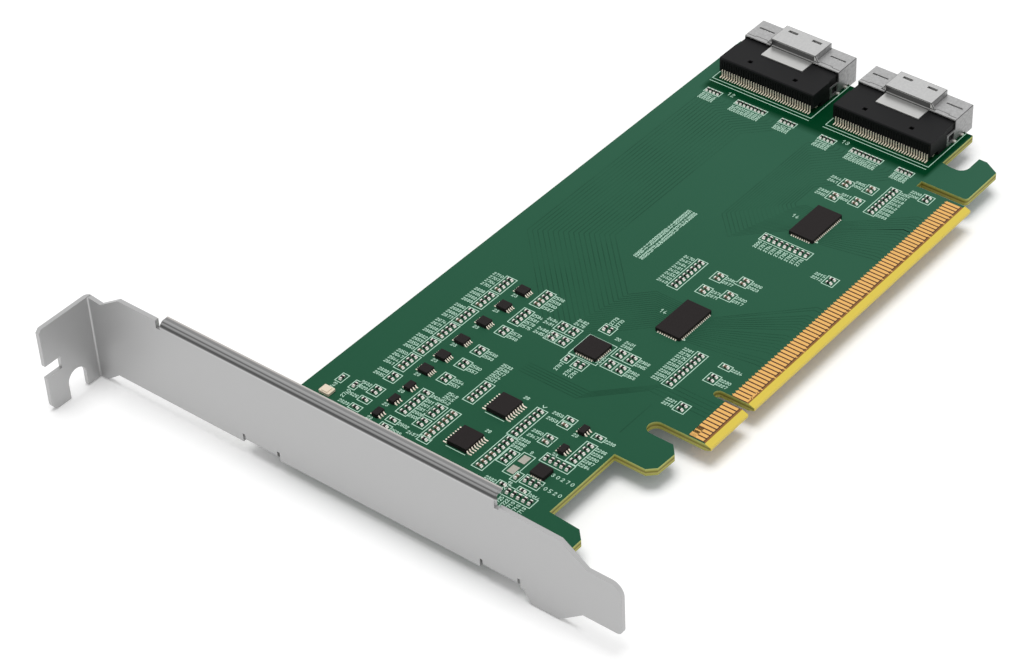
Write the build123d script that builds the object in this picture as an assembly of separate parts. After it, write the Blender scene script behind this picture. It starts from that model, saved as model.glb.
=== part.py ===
from build123d import *
import os

os.makedirs("parts", exist_ok=True)

# X runs along the board away from the bracket, Y up from the contact edge, Z out of the component side.
# The origin is the centre of the key notch, on the contact edge, at the board's mid-plane.
BOARD_T = 1.57
TOP = BOARD_T / 2
BOARD_LOW = 12.4
BOARD_FAR = 93.1
TONGUE_START = -12.2
TONGUE_END = 72.6
KEY_HALF = 0.95
KEY_DEPTH = 8.05
BEVEL_H = 1.3
BEVEL_D = 0.47

# Receptacles along the board's end: half width, the gap between them and the margins beside them.
SHELL_HALF = 11.55
RECEPTACLE_GAP = 4.7
LOW_MARGIN = 2.0
HIGH_MARGIN = 3.6
RECEPTACLE_Y = BOARD_LOW + LOW_MARGIN + SHELL_HALF
RECEPTACLE_YS = {"a": RECEPTACLE_Y + 2 * SHELL_HALF + RECEPTACLE_GAP, "b": RECEPTACLE_Y}
BOARD_HIGH = RECEPTACLE_YS["a"] + SHELL_HALF + HIGH_MARGIN

# Bracket sheet: outer face, ends along Y, edges along Z, rim and the two tabs under the board.
SHEET = 0.86
FACE_X = -57.2
FOLD_Y = 105.1
TIP_Y = -14.9
END_LOW = -4.2
END_HIGH = 14.2
TONGUE_LOW = -0.4
TONGUE_HIGH = 10.5
RIM_Z = 16.9
RIM_LOW = 11.2
RIM_HIGH = 86.25
RIM_DEPTH = 2.2
RELIEF = 1.0
FIXING_DEPTH = 12.0
SCREW_NOTCH_R = 2.2
TAB_LENGTH = 9.5
TAB_WIDTH = 7.5
TAB_CENTRES = (BOARD_HIGH - 4.4, BOARD_LOW - 1.6)
TAB_Z = -TOP - SHEET
BEND_R = SHEET + 0.34
BOARD_NEAR = FACE_X + SHEET + 0.6

# Bracket screws.
SCREW_X = FACE_X + 5.9
SHANK_R = 1.45
HEAD_R = 2.7
HEAD_H = 1.7
SCREW_PLAY = 0.05

# Edge contacts.
FINGER_W = 0.7
FINGER_LOW = 1.85
FINGER_HIGH = 4.95
FINGER_T = 0.05
FINGER_COUNT_BEFORE_KEY = 11
FINGER_COUNT_AFTER_KEY = 71

# Cable receptacles: shell, hump and side arms, then the housing inside them and its tails.
SHELL_T = 0.3
SHELL_LENGTH = 6.6
SHELL_REAR = BOARD_FAR - 3.6
SHELL_FRONT = SHELL_REAR + SHELL_LENGTH
SHELL_Z = 5.7
SHELL_LOW = 0.1
HUMP_REAR = SHELL_REAR + 0.5
HUMP_FRONT = SHELL_FRONT - 0.2
HUMP_HALF = 5.5
HUMP_Z = SHELL_Z + 1.25
ARM_REAR = SHELL_REAR - 3.0
ARM_Z = 3.55
REAR_X = SHELL_REAR - 8.9
HOUSING_HALF = SHELL_HALF - 0.05
HOUSING_Z = SHELL_Z - SHELL_T - 0.25
HOUSING_FRONT = SHELL_REAR + 1.7
OVERHANG_Z = 1.85
OVERHANG_X = REAR_X + 3.0
SLOT_LOW = 2.35
SLOT_HIGH = 3.55
TAIL_PITCH = 0.6
TAIL_COUNT = 37
TAIL_W = 0.24
ANCHOR_XS = (ARM_REAR + 2.6, BOARD_FAR - 1.15)
PEG_X = OVERHANG_X + 1.9
PEG_Y = HOUSING_HALF - 1.9
PEG_R = 0.6
HOLE_PLAY = 0.05

# Leadless and leaded packages.
REDRIVER_X = 10.0
REDRIVER_Y = 5.5
REDRIVERS = {"a": (12.6, 24.2), "b": (50.6, 21.0)}
CLOCK_SIZE = 5.0
CLOCK_AT = (-3.5, 32.7)
REGULATOR_SIZE = 3.0
REGULATOR_AT = (-35.0, 19.5)
LOGIC_CHIPS = {"a": (-25.4, 35.5), "b": (-36.3, 35.4)}
SHIFTER_Y = 53.3
SHIFTER_XS = (2.0, -3.5, -9.3, -15.6, -21.0, -25.8)
SMALL_CHIPS = ((-31.0, 52.6), (-35.4, 52.5), (-39.8, 52.5), (-22.2, 20.2), (-28.3, 20.0))
LED_AT = (-40.5, BOARD_HIGH - 5.0)

# Chip resistors and capacitors: length, width and height, and the pitch in a row.
CHIP_L = 1.0
CHIP_W = 0.5
CHIP_H = 0.35
ROW_PITCH = 1.2
CELL_PITCH = 0.9


def prism_x(points, x0, x1):
    """Solid with a Y-Z outline between two X values."""
    return extrude(Plane.YZ.offset(x0) * Polygon(*points, align=None), x1 - x0, dir=(1, 0, 0))


def prism_y(points, y0, y1):
    """Solid with an X-Z outline between two Y values."""
    return extrude(Plane.XZ.offset(-y0) * Polygon(*points, align=None), y1 - y0, dir=(0, 1, 0))


def prism_z(points, z0, z1):
    """Solid with an X-Y outline between two Z values."""
    return extrude(Plane.XY.offset(z0) * Polygon(*points, align=None), z1 - z0, dir=(0, 0, 1))


def block(x, y, z):
    """Box between pairs of limits along X, Y and Z."""
    centre = ((x[0] + x[1]) / 2, (y[0] + y[1]) / 2, (z[0] + z[1]) / 2)
    return Pos(*centre) * Box(x[1] - x[0], y[1] - y[0], z[1] - z[0])


def span(centre, half):
    """Limits on both sides of a centre."""
    return (centre - half, centre + half)


def rod(x, y, z0, z1, radius):
    """Upright cylinder between two heights."""
    return Pos(x, y, (z0 + z1) / 2) * Cylinder(radius, z1 - z0)


def eight_sided(x, y, z0, z1, radius):
    """Upright eight-sided post between two heights."""
    return Pos(x, y, z0) * extrude(RegularPolygon(radius, 8), z1 - z0)


def nearest_edge(part, axis, point):
    """The edge along an axis that lies nearest to a point."""
    return part.edges().filter_by(axis).sort_by_distance(point)[0]


def save(name, shapes):
    """Write one node with all its separate solids."""
    solids = [solid for shape in shapes for solid in shape.solids()]
    export_step(Compound(solids), f"parts/{name}.step")


def bracket():
    """Folded sheet: plate, long rim, two board tabs, fixing tab with a screw notch, lower tongue."""
    inner_x = FACE_X + SHEET
    tab_foot = min(TAB_CENTRES) - TAB_WIDTH / 2
    outline = [
        (FOLD_Y, END_HIGH),
        (FOLD_Y - 3.9, END_HIGH - 0.5),
        (FOLD_Y - 8.7, RIM_Z),
        (RIM_LOW - 0.5, RIM_Z),
        (RIM_LOW - 0.5, END_HIGH + 0.3),
        (TIP_Y + 12.4, END_HIGH),
        (TIP_Y + 6.9, TONGUE_HIGH),
        (TIP_Y, TONGUE_HIGH),
        (TIP_Y, TONGUE_LOW),
        (TIP_Y + 8.2, TONGUE_LOW),
        (TIP_Y + 12.0, END_LOW + 0.9),
        (TIP_Y + 13.4, END_LOW),
        (tab_foot - 2.6, END_LOW),
        (tab_foot - 1.3, TAB_Z),
        (FOLD_Y - 5.9, TAB_Z),
        (FOLD_Y - 2.7, END_LOW + 0.1),
        (FOLD_Y, END_LOW),
    ]
    part = prism_x(outline, FACE_X, inner_x)
    part += block((FACE_X, FACE_X + RIM_DEPTH), (RIM_LOW, RIM_HIGH), (RIM_Z - SHEET, RIM_Z))
    part += fixing_tab(inner_x)
    through = (FACE_X - 1, inner_x + 1)
    part -= block(through, (RIM_HIGH, RIM_HIGH + RELIEF), (RIM_Z - 1.7, RIM_Z + 1))
    part -= block(through, (RIM_LOW - RELIEF, RIM_LOW), (RIM_Z - 3.0, RIM_Z + 1))
    for y in TAB_CENTRES:
        part += board_tab(y)
        for side in (-1, 1):
            slit = span(y + side * (TAB_WIDTH / 2 + 0.3), 0.3)
            part -= block((FACE_X - 1, inner_x + 0.4), slit, (TAB_Z - 1, 0.2))
    rim_y = (RIM_LOW + RIM_HIGH) / 2
    part = fillet(nearest_edge(part, Axis.Y, (FACE_X, rim_y, RIM_Z)), BEND_R)
    part = fillet(nearest_edge(part, Axis.Y, (inner_x, rim_y, RIM_Z - SHEET)), BEND_R - SHEET)
    for y in TAB_CENTRES:
        part = fillet(nearest_edge(part, Axis.Y, (FACE_X, y, TAB_Z)), BEND_R)
        part = fillet(nearest_edge(part, Axis.Y, (inner_x, y, -TOP)), BEND_R - SHEET)
    part = fillet(nearest_edge(part, Axis.Z, (inner_x, FOLD_Y, 5)), BEND_R)
    part = fillet(nearest_edge(part, Axis.Z, (FACE_X, FOLD_Y - SHEET, 5)), BEND_R - SHEET)
    part = fillet(nearest_edge(part, Axis.X, (FACE_X, TIP_Y, TONGUE_HIGH)), 2.5)
    return fillet(nearest_edge(part, Axis.X, (FACE_X, TIP_Y, TONGUE_LOW)), 1.2)


def fixing_tab(inner_x):
    """Plate folded outwards at the top, with a side notch and an open screw notch."""
    tip_x = FACE_X - FIXING_DEPTH
    notch_x = FACE_X - 5.3
    notch_z = END_LOW + 3.1
    notch_low = notch_x - SCREW_NOTCH_R
    notch_high = notch_x + SCREW_NOTCH_R
    outline = [
        (inner_x, END_HIGH),
        (tip_x + 0.7, END_HIGH),
        (tip_x, END_HIGH - 0.7),
        (tip_x, 6.0),
        (tip_x + 3.7, 6.0),
        (tip_x + 3.7, 3.3),
        (tip_x, 3.3),
        (tip_x, END_LOW - 0.2),
        (notch_low, END_LOW - 0.2),
        (notch_low, notch_z),
        (notch_high, notch_z),
        (notch_high, END_LOW),
        (inner_x, END_LOW),
    ]
    tab = prism_y(outline, FOLD_Y - SHEET, FOLD_Y)
    tab = fillet(nearest_edge(tab, Axis.Y, (tip_x, FOLD_Y, END_LOW - 0.2)), 1.8)
    return tab - Pos(notch_x, FOLD_Y, notch_z) * Rot(90, 0, 0) * Cylinder(SCREW_NOTCH_R, 4 * SHEET)


def board_tab(y):
    """Tab bent under the board, with a screw hole."""
    limits = span(y, TAB_WIDTH / 2)
    tab = block((FACE_X, FACE_X + TAB_LENGTH), limits, (TAB_Z, -TOP))
    for side in (-1, 1):
        corner = nearest_edge(tab, Axis.Z, (FACE_X + TAB_LENGTH, y + side * TAB_WIDTH / 2, TAB_Z))
        tab = fillet(corner, 1.5)
    return tab - eight_sided(SCREW_X, y, TAB_Z - 1, 0, SHANK_R + SCREW_PLAY)


def bracket_screw(y):
    """Pan-head screw through the board into a bracket tab."""
    head = Pos(SCREW_X, y, TOP + HEAD_H / 2) * Cone(HEAD_R, HEAD_R - 0.5, HEAD_H)
    screw = head + eight_sided(SCREW_X, y, TAB_Z - 0.5, TOP, SHANK_R)
    depth = (TOP + HEAD_H - 1.0, TOP + HEAD_H + 1)
    screw -= block(span(SCREW_X, 1.4), span(y, 0.3), depth)
    return screw - block(span(SCREW_X, 0.3), span(y, 1.4), depth)


def circuit_board():
    """Board with bevelled contact tongue, key notch, two retention lugs, slots and fixing holes."""
    lug = TONGUE_END + 1.9
    hook = TONGUE_START - 3.4
    corner = SCREW_X + 9.5
    outline = [
        (BOARD_NEAR, BOARD_HIGH),
        (BOARD_FAR, BOARD_HIGH),
        (BOARD_FAR, BOARD_LOW),
        (lug + 7.5, BOARD_LOW),
        (lug + 7.1, BOARD_LOW - 2.1),
        (lug + 7.1, BOARD_LOW - 5.2),
        (lug + 12.7, BOARD_LOW - 5.2),
        (lug + 12.7, BOARD_LOW - 7.0),
        (lug + 10.8, BOARD_LOW - 10.3),
        (lug, BOARD_LOW - 10.3),
        (lug, BOARD_LOW),
        (TONGUE_END, BOARD_LOW),
        (TONGUE_END, 0),
        (TONGUE_START, 0),
        (TONGUE_START, BOARD_LOW - 1.8),
        (hook, BOARD_LOW - 1.8),
        (hook, BOARD_LOW - 6.8),
        (hook - 1.9, BOARD_LOW - 8.5),
        (hook - 6.5, BOARD_LOW - 8.3),
        (hook - 8.0, BOARD_LOW - 6.7),
        (hook - 8.0, BOARD_LOW),
        (corner, BOARD_LOW),
        (corner - 0.45, BOARD_LOW - 6.8),
        (corner - 2.3, BOARD_LOW - 8.6),
        (BOARD_NEAR, BOARD_LOW - 8.6),
    ]
    board = prism_z(outline, -TOP, TOP)
    board = fillet(nearest_edge(board, Axis.Z, (lug + 7.1, BOARD_LOW - 5.2, 0)), 2.0)
    board = fillet(nearest_edge(board, Axis.Z, (lug, BOARD_LOW - 10.3, 0)), 0.8)
    board -= rod((TONGUE_START + hook) / 2, BOARD_LOW - 1.8, -2, 2, (TONGUE_START - hook) / 2)
    board -= block(span(0, KEY_HALF), (-1, KEY_DEPTH - KEY_HALF), (-2, 2))
    board -= rod(0, KEY_DEPTH - KEY_HALF, -2, 2, KEY_HALF)
    for side in (-1, 1):
        bevel = [(0, side * (TOP - BEVEL_D)), (BEVEL_H, side * TOP), (0, side * TOP)]
        board -= prism_x(bevel, TONGUE_START - 1, TONGUE_END + 1)
    for y in TAB_CENTRES:
        board -= eight_sided(SCREW_X, y, -2, 2, SHANK_R + SCREW_PLAY)
    for centre in RECEPTACLE_YS.values():
        for side in (-1, 1):
            board -= eight_sided(PEG_X, centre + side * PEG_Y, -2, 2, PEG_R + HOLE_PLAY)
            for x in ANCHOR_XS:
                wall = centre + side * (SHELL_HALF - SHELL_T / 2)
                board -= block(span(x, 0.6), span(wall, 0.35), (-2, 2))
    return board


def edge_contacts(side):
    """Row of gold contacts on one side of the tongue."""
    count = FINGER_COUNT_BEFORE_KEY + FINGER_COUNT_AFTER_KEY
    fingers = []
    for n in range(count):
        before = n < FINGER_COUNT_BEFORE_KEY
        x = n - FINGER_COUNT_BEFORE_KEY + (-0.5 if before else 1.5)
        z = (TOP, TOP + FINGER_T) if side > 0 else (-TOP - FINGER_T, -TOP)
        fingers.append(block(span(x, FINGER_W / 2), (FINGER_LOW, FINGER_HIGH), z))
    return fingers


def receptacle_housing(centre):
    """Moulded block with an overhang above the tails, a grooved rear face, pegs and a card slot."""
    outline = [
        (REAR_X, OVERHANG_Z),
        (REAR_X, HOUSING_Z - 0.2),
        (REAR_X + 0.2, HOUSING_Z),
        (HOUSING_FRONT, HOUSING_Z),
        (HOUSING_FRONT, TOP),
        (OVERHANG_X, TOP),
        (OVERHANG_X, OVERHANG_Z),
    ]
    housing = prism_y(outline, centre - HOUSING_HALF, centre + HOUSING_HALF)
    nose_half = SHELL_HALF - SHELL_T
    for side in (-1, 1):
        cheek = sorted((centre + side * nose_half, centre + side * (HOUSING_HALF + 1)))
        housing -= block((ARM_REAR, HOUSING_FRONT + 1), cheek, (0, HOUSING_Z + 1))
        pocket_y = span(centre + side * HUMP_HALF, 0.45)
        housing -= block(span(REAR_X + 2.3, 0.45), pocket_y, (HOUSING_Z - 0.75, HOUSING_Z + 1))
        housing += eight_sided(PEG_X, centre + side * PEG_Y, 0.2 - TOP, TOP, PEG_R)
    slot_y = span(centre, HOUSING_HALF - 0.9)
    housing -= block((HOUSING_FRONT - 5, HOUSING_FRONT + 1), slot_y, (SLOT_LOW, SLOT_HIGH))
    for y in tail_places(centre):
        groove = block((REAR_X - 1, REAR_X + 0.15), span(y, 0.15), (OVERHANG_Z - 1, HOUSING_Z - 0.65))
        housing -= groove
    return housing


def tail_places(centre):
    """Y positions of one row of contact tails."""
    first = centre - TAIL_PITCH * (TAIL_COUNT - 1) / 2
    return [first + TAIL_PITCH * n for n in range(TAIL_COUNT)]


def receptacle_tails(centre):
    """Rear row of contact tails, bent down from the grooves on to the board."""
    tails = []
    riser = REAR_X + 0.15
    outline = [
        (riser - 0.95, TOP),
        (riser, TOP),
        (riser, OVERHANG_Z + 0.5),
        (riser - 0.15, OVERHANG_Z + 0.5),
        (riser - 0.2, TOP + 0.15),
        (riser - 0.95, TOP + 0.12),
    ]
    for y in tail_places(centre):
        tails.append(prism_y(outline, y - TAIL_W / 2, y + TAIL_W / 2))
    return tails


def receptacle_inner_tails(centre):
    """Second row of contact tails under the housing's overhang."""
    places = tail_places(centre)
    return [block(span(REAR_X + 2.2, 0.3), span(y, TAIL_W / 2), (TOP, OVERHANG_Z)) for y in places]


def receptacle_shell(centre):
    """Sheet shell round the mating end, with a gusseted latch hump, side arms and solder anchors."""
    inside = SHELL_HALF - SHELL_T
    board_gap = BOARD_FAR + 0.3
    shell = block((SHELL_REAR, SHELL_FRONT), span(centre, SHELL_HALF), (SHELL_LOW, SHELL_Z))
    shell -= block(
        (SHELL_REAR - 1, SHELL_FRONT + 1),
        span(centre, inside),
        (SHELL_LOW + SHELL_T, SHELL_Z - SHELL_T),
    )
    shell -= block((SHELL_REAR - 1, board_gap), span(centre, SHELL_HALF + 1), (-1, TOP))
    latch_way = HUMP_HALF - SHELL_T
    shell += block((HUMP_REAR, HUMP_FRONT), span(centre, HUMP_HALF), (SHELL_Z, HUMP_Z))
    shell -= block(
        (HUMP_REAR - 1, HUMP_FRONT + 1),
        span(centre, latch_way),
        (SHELL_Z, HUMP_Z - SHELL_T),
    )
    shell -= block((SHELL_REAR, SHELL_FRONT + 1), span(centre, latch_way), (SHELL_Z - 1, SHELL_Z))
    for side in (-1, 1):
        root = centre + side * HUMP_HALF
        gusset = [(root, SHELL_Z), (root + side * 0.8, SHELL_Z), (root, HUMP_Z - 0.2)]
        shell += prism_x(gusset, HUMP_REAR, HUMP_REAR + SHELL_T)
        latch_y = span(centre + side * 2.9, 1.0)
        shell -= block(span(HUMP_FRONT - 1.5, 0.25), latch_y, (HUMP_Z - 1, HUMP_Z + 1))
        slit_y = span(centre + side * 8.8, 1.75)
        shell -= block(span(SHELL_FRONT - 2.65, 0.12), slit_y, (SHELL_Z - 1, SHELL_Z + 1))
        wall = sorted((centre + side * inside, centre + side * SHELL_HALF))
        shell += block((ARM_REAR, SHELL_REAR + 1), wall, (TOP, ARM_Z))
        shell -= block((ARM_REAR + 0.8, ARM_REAR + 2.6), wall, (TOP + 0.7, ARM_Z - 0.5))
        for x in ANCHOR_XS:
            shell += block(span(x, 0.4), wall, (-TOP - 0.5, TOP + 0.3))
    return shell


def receptacle_latch_plate(centre):
    """Flat metal plate that lies on the housing and runs under the latch hump."""
    plate_x = (HOUSING_FRONT - 5.2, HOUSING_FRONT - 0.2)
    return block(plate_x, span(centre, HUMP_HALF - 0.45), (HOUSING_Z, SHELL_Z - SHELL_T))


def leadless_body(at, length, width, height):
    """Plain moulded body that sits on the board."""
    return block(span(at[0], length / 2), span(at[1], width / 2), (TOP, TOP + height))


def side_terminals(at, length, width, along_x, along_y, pitch=0.5):
    """Terminals round a leadless body: along_x on each long side, along_y on each end."""
    pads = []
    z = (TOP, TOP + 0.22)
    for n in range(along_x):
        x = at[0] + pitch * (n - (along_x - 1) / 2)
        for side in (-1, 1):
            edge = at[1] + side * width / 2
            pads.append(block(span(x, 0.13), sorted((edge, edge + side * 0.12)), z))
    for n in range(along_y):
        y = at[1] + pitch * (n - (along_y - 1) / 2)
        for side in (-1, 1):
            edge = at[0] + side * length / 2
            pads.append(block(sorted((edge, edge + side * 0.12)), span(y, 0.13), z))
    return pads


def leaded_body(at, length, width, height):
    """Moulded body held just above the board by its leads."""
    x = span(at[0], length / 2)
    y = span(at[1], width / 2)
    return block(x, y, (TOP + 0.1, TOP + height))


def gull_leads(at, width, reach, count, pitch, lead_w, shoulder):
    """Leads on both long sides of a body, from the shoulder height down to flat feet."""
    leads = []
    for side in (-1, 1):
        edge = at[1] + side * width / 2
        tip = edge + side * reach
        outline = [
            (edge, TOP),
            (tip, TOP),
            (tip, TOP + 0.14),
            (edge + side * 0.3, TOP + 0.14),
            (edge, TOP + shoulder),
        ]
        for n in range(count):
            x = at[0] + pitch * (n - (count - 1) / 2)
            leads.append(prism_x(outline, x - lead_w / 2, x + lead_w / 2))
    return leads


def status_led():
    """Small rectangular lamp body with a raised lens."""
    body = leadless_body(LED_AT, 2.0, 2.4, 0.6)
    lens = leadless_body(LED_AT, 1.6, 1.5, 0.8)
    return body + lens


def chip(x, y, along_y, length=CHIP_L, width=CHIP_W, height=CHIP_H):
    """One chip component with its long axis along X or Y."""
    half_x = (width if along_y else length) / 2
    half_y = (length if along_y else width) / 2
    return block(span(x, half_x), span(y, half_y), (TOP, TOP + height))


def row_x(x, y, count, pitch=ROW_PITCH):
    """Chips side by side along X, each with its long axis along Y."""
    return [chip(x + pitch * (n - (count - 1) / 2), y, True) for n in range(count)]


def row_y(x, y, count, pitch=ROW_PITCH):
    """Chips side by side along Y, each with its long axis along X."""
    return [chip(x, y + pitch * (n - (count - 1) / 2), False) for n in range(count)]


def chip_rows(rows_x=(), rows_y=()):
    """All the chips of several rows, each given as X, Y and count."""
    chips = []
    for row in rows_x:
        chips += row_x(*row)
    for row in rows_y:
        chips += row_y(*row)
    return chips


def shifter_resistors():
    """Chip rows above and below the line of level shifters."""
    upper = [(2.2, 57.6, 3), (-3.3, 57.6, 3), (-9.0, 57.6, 3), (-14.4, 57.6, 3), (-19.8, 57.6, 3)]
    upper += [(-25.3, 57.6, 3), (-30.6, 57.0, 2), (-35.2, 57.0, 2), (-38.3, 57.0, 1)]
    upper += [(-40.8, 57.0, 1)]
    lower = [(3.8, 49.1, 2), (-3.8, 49.1, 4), (-8.9, 49.1, 2), (-15.8, 49.1, 2), (-20.4, 49.1, 2)]
    lower += [(-25.3, 49.1, 2), (-30.4, 49.4, 1), (-34.3, 49.4, 5), (-39.5, 49.4, 1)]
    lower += [(-41.6, 49.4, 1)]
    beside_lamp = [(-36.1, BOARD_HIGH - 4.7, 1), (-36.2, BOARD_HIGH - 7.9, 1)]
    return chip_rows(upper + lower, beside_lamp)


def shifter_capacitors():
    """Tan chips at the bracket end of the shifter rows."""
    ends = [(-0.2, 57.6, 1), (-5.7, 57.6, 1), (-11.4, 57.6, 1), (-16.8, 57.6, 1)]
    ends += [(-22.2, 57.6, 1), (-27.7, 57.6, 1), (1.4, 49.1, 2)]
    return chip_rows(ends)


def logic_resistors():
    """Chip rows round the two logic chips and the regulator."""
    along = [(-33.2, 44.8, 3), (-37.0, 44.8, 2), (-40.2, 41.6, 1), (-24.2, 41.9, 4)]
    along += [(-26.1, 29.8, 7), (-33.2, 29.5, 4), (-35.1, 26.9, 3), (-26.9, 17.1, 5)]
    along += [(-21.9, 17.2, 1), (-21.1, 24.1, 1), (-26.9, 24.1, 1), (-41.8, 23.1, 2)]
    along += [(-40.5, 19.3, 1)]
    across = [(-31.4, 18.9, 5), (-37.8, 19.4, 3), (-42.0, 18.8, 5)]
    return chip_rows(along, across)


def logic_capacitors():
    """Tan chips round the two logic chips and the regulator."""
    along = [(-35.5, 41.8, 7), (-27.2, 41.9, 1), (-38.0, 29.5, 4), (-22.8, 24.1, 1)]
    along += [(-28.3, 24.1, 1)]
    return chip_rows(along, [(-38.2, 22.4, 1)])


def clock_resistors():
    """Chips round the clock chip, in rows and in two-by-two groups."""
    chips = chip_rows([], [(-8.1, 34.9, 1), (-8.3, 32.0, 2), (2.7, 34.0, 2)])
    for x, y in ((-1.6, 39.9), (-4.8, 39.7), (-1.6, 26.6), (-5.0, 26.5)):
        for step in (-1.25, 1.25):
            chips += row_x(x, y + step, 2)
    return chips


def redriver_resistors():
    """Chip rows beside the two re-drivers and along the contact tongue."""
    along = [(24.3, 31.9, 8), (64.5, 14.9, 8), (70.0, 8.4, 2), (38.2, 9.1, 2), (1.8, 15.9, 9)]
    along += [(2.7, 10.5, 2), (-6.9, 10.2, 2)]
    return chip_rows(along, [(42.1, 21.9, 9)])


def redriver_capacitors():
    """Tan chip pairs between the re-drivers and the receptacles."""
    pairs = [(27.0, 26.7, 2), (28.5, 21.9, 2), (22.3, 26.6, 2), (23.5, 21.9, 2)]
    pairs += [(65.1, 23.7, 2), (66.2, 18.8, 2), (60.3, 23.4, 2), (61.4, 18.9, 2), (6.7, 10.4, 1)]
    return chip_rows(pairs)


def receptacle_resistors():
    """Close groups of small chips behind the receptacles."""
    chips = []
    for centre in RECEPTACLE_YS.values():
        for offset, count in ((9.0, 4), (-0.3, 8), (-9.3, 4)):
            for n in range(count):
                place = centre + offset + CELL_PITCH * (n - (count - 1) / 2)
                chips.append(chip(REAR_X - 5.6, place, False, 0.9, 0.45, 0.3))
    return chips


def bare_pads():
    """Tinned pads of a footprint that is left empty."""
    z = (TOP, TOP + 0.05)
    return [block(span(x, 1.0), span(24.1, 0.75), z) for x in (-34.0, -37.1)]


save("bracket", [bracket()])
save("bracket_screw_upper", [bracket_screw(TAB_CENTRES[0])])
save("bracket_screw_lower", [bracket_screw(TAB_CENTRES[1])])
save("circuit_board", [circuit_board()])
save("edge_contacts_front", edge_contacts(1))
save("edge_contacts_back", edge_contacts(-1))

for letter, place in RECEPTACLE_YS.items():
    save(f"receptacle_{letter}_housing", [receptacle_housing(place)])
    save(f"receptacle_{letter}_shell", [receptacle_shell(place)])
    save(f"receptacle_{letter}_latch_plate", [receptacle_latch_plate(place)])
    save(f"receptacle_{letter}_tails", receptacle_tails(place))
    save(f"receptacle_{letter}_inner_tails", receptacle_inner_tails(place))

for letter, at in REDRIVERS.items():
    save(f"redriver_{letter}", [leadless_body(at, REDRIVER_X, REDRIVER_Y, 0.8)])
    save(f"redriver_{letter}_terminals", side_terminals(at, REDRIVER_X, REDRIVER_Y, 18, 9))

save("clock_chip", [leadless_body(CLOCK_AT, CLOCK_SIZE, CLOCK_SIZE, 0.8)])
save("clock_chip_terminals", side_terminals(CLOCK_AT, CLOCK_SIZE, CLOCK_SIZE, 8, 8))
save("regulator", [leadless_body(REGULATOR_AT, REGULATOR_SIZE, REGULATOR_SIZE, 0.8)])
save("regulator_terminals", side_terminals(REGULATOR_AT, REGULATOR_SIZE, REGULATOR_SIZE, 0, 5))

for letter, at in LOGIC_CHIPS.items():
    save(f"logic_chip_{letter}", [leaded_body(at, 5.0, 4.4, 1.05)])
    save(f"logic_chip_{letter}_leads", gull_leads(at, 4.4, 1.0, 8, 0.65, 0.25, 0.6))

shifters = [(x, SHIFTER_Y) for x in SHIFTER_XS]
save("level_shifters", [leaded_body(at, 2.1, 2.3, 0.85) for at in shifters])
shifter_leads = [gull_leads(at, 2.3, 0.6, 4, 0.5, 0.2, 0.45) for at in shifters]
save("level_shifter_leads", sum(shifter_leads, []))
save("switch_chips", [leaded_body(at, 2.1, 1.35, 0.9) for at in SMALL_CHIPS])
switch_leads = [gull_leads(at, 1.35, 0.55, 3, 0.65, 0.25, 0.5) for at in SMALL_CHIPS]
save("switch_chip_leads", sum(switch_leads, []))

save("status_led", [status_led()])
save("shifter_resistors", shifter_resistors())
save("shifter_capacitors", shifter_capacitors())
save("logic_resistors", logic_resistors())
save("logic_capacitors", logic_capacitors())
save("clock_resistors", clock_resistors())
save("redriver_resistors", redriver_resistors())
save("redriver_capacitors", redriver_capacitors())
save("receptacle_resistors", receptacle_resistors())
save("bare_pads", bare_pads())
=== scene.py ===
import bpy, bmesh
from math import hypot, pi, radians
from mathutils import Matrix, Vector


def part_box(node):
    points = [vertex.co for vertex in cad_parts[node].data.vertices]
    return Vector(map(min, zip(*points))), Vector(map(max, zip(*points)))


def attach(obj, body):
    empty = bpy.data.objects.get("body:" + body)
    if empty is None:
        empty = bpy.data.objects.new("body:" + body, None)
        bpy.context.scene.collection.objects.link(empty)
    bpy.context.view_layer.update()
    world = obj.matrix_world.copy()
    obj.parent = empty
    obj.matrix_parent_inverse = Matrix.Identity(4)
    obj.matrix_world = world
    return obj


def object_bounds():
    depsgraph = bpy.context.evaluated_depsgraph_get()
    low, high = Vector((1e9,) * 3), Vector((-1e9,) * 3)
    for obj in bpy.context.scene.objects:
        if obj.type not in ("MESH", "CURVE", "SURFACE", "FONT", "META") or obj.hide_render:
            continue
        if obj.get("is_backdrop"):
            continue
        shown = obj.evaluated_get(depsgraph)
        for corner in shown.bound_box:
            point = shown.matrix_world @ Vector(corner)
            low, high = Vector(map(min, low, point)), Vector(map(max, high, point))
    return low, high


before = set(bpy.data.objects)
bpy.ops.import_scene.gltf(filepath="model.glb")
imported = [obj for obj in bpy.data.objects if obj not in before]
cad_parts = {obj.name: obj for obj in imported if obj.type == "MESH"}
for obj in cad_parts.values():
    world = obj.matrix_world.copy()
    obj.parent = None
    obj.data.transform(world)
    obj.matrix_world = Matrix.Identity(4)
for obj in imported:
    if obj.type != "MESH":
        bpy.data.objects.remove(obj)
size = {"cad": [list(corner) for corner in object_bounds()]}

# The board is woven glass laminate with copper layers, routed to shape, under a green mask.
# Over poured copper the mask looks greyer; round the receptacles it lies on bare laminate.
# The routed edges show the laminate's layers, and the tongue is ground to a bevel.
mm = 0.001
board_low, board_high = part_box("circuit_board")
copper_near, copper_far = -56, 80
cloud_mm = 25
cloud_share = 0.2
bare_limits = (("X", 74.4, 76.6), ("Y", 66.4, 65.2), ("Y", 12.0, 12.9))
bevel_reach = 1.4
laminate_index, bevel_index = 1, 2
mask_gloss = {"Roughness": 0.5, "IOR": 1.5, "Specular IOR Level": 0.03}
# A mix node's colour sockets share their names with others, so they go by number.
under, over, mixed = 6, 7, 2


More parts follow.
